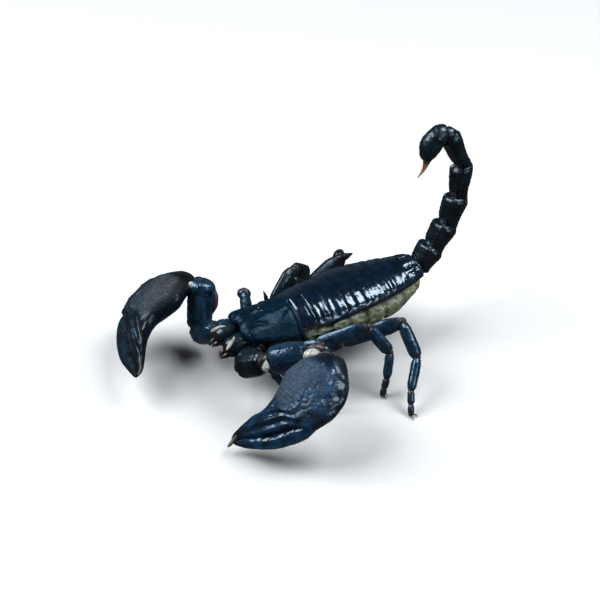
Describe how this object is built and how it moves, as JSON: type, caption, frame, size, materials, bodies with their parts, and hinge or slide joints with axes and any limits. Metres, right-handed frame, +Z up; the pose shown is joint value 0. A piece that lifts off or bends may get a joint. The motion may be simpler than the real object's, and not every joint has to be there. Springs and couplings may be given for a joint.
{
  "type": "dry scorpion specimen",
  "caption": "Large glossy blue-black forest scorpion as a dry specimen: standing on its legs, broad claws spread forward, tail raised and curled over, sting pointing down",
  "frame": {"origin": "middle of the specimen's box, on the plane that its feet stand on", "axes": "+Z up, head toward -Y, tail toward +Y, the animal's left side toward +X"},
  "size_m": [0.0706, 0.093, 0.0565],
  "materials": {
    "blue_black_cuticle": "glossy chitin plates, blue-black",
    "limb_cuticle": "satin to glossy chitin, blue-black, granular on the hands",
    "tail_cuticle": "satin black chitin with reddish brown edges",
    "pleural_skin": "dull folded skin, yellowish grey"
  },
  "bodies": {
    "root": {"breast": "limb_cuticle", "carapace": "blue_black_cuticle", "left_arm_femur": "limb_cuticle", "left_arm_patella": "limb_cuticle", "left_arm_trochanter": "limb_cuticle", "left_chelicera": "limb_cuticle", "left_comb": "pleural_skin", "left_hand": "limb_cuticle", "left_leg_1_femur": "limb_cuticle", "left_leg_1_foot": "limb_cuticle", "left_leg_1_patella": "limb_cuticle", "left_leg_2_femur": "limb_cuticle", "left_leg_2_foot": "limb_cuticle", "left_leg_2_patella": "limb_cuticle", "left_leg_3_femur": "limb_cuticle", "left_leg_3_foot": "limb_cuticle", "left_leg_3_patella": "limb_cuticle", "left_leg_4_femur": "limb_cuticle", "left_leg_4_foot": "limb_cuticle", "left_leg_4_patella": "limb_cuticle", "left_movable_finger": "limb_cuticle", "right_arm_femur": "limb_cuticle", "right_arm_patella": "limb_cuticle", "right_arm_trochanter": "limb_cuticle", "right_chelicera": "limb_cuticle", "right_comb": "pleural_skin", "right_hand": "limb_cuticle", "right_leg_1_femur": "limb_cuticle", "right_leg_1_foot": "limb_cuticle", "right_leg_1_patella": "limb_cuticle", "right_leg_2_femur": "limb_cuticle", "right_leg_2_foot": "limb_cuticle", "right_leg_2_patella": "limb_cuticle", "right_leg_3_femur": "limb_cuticle", "right_leg_3_foot": "limb_cuticle", "right_leg_3_patella": "limb_cuticle", "right_leg_4_femur": "limb_cuticle", "right_leg_4_foot": "limb_cuticle", "right_leg_4_patella": "limb_cuticle", "right_movable_finger": "limb_cuticle", "sternite_1": "blue_black_cuticle", "sternite_2": "blue_black_cuticle", "sternite_3": "blue_black_cuticle", "sternite_4": "blue_black_cuticle", "sternite_5": "blue_black_cuticle", "tail_segment_1": "tail_cuticle", "tail_segment_2": "tail_cuticle", "tail_segment_3": "tail_cuticle", "tail_segment_4": "tail_cuticle", "tail_segment_5": "tail_cuticle", "telson": "tail_cuticle", "tergite_1": "blue_black_cuticle", "tergite_2": "blue_black_cuticle", "tergite_3": "blue_black_cuticle", "tergite_4": "blue_black_cuticle", "tergite_5": "blue_black_cuticle", "tergite_6": "blue_black_cuticle", "tergite_7": "blue_black_cuticle", "trunk": "pleural_skin"}
  },
  "joints": []
}
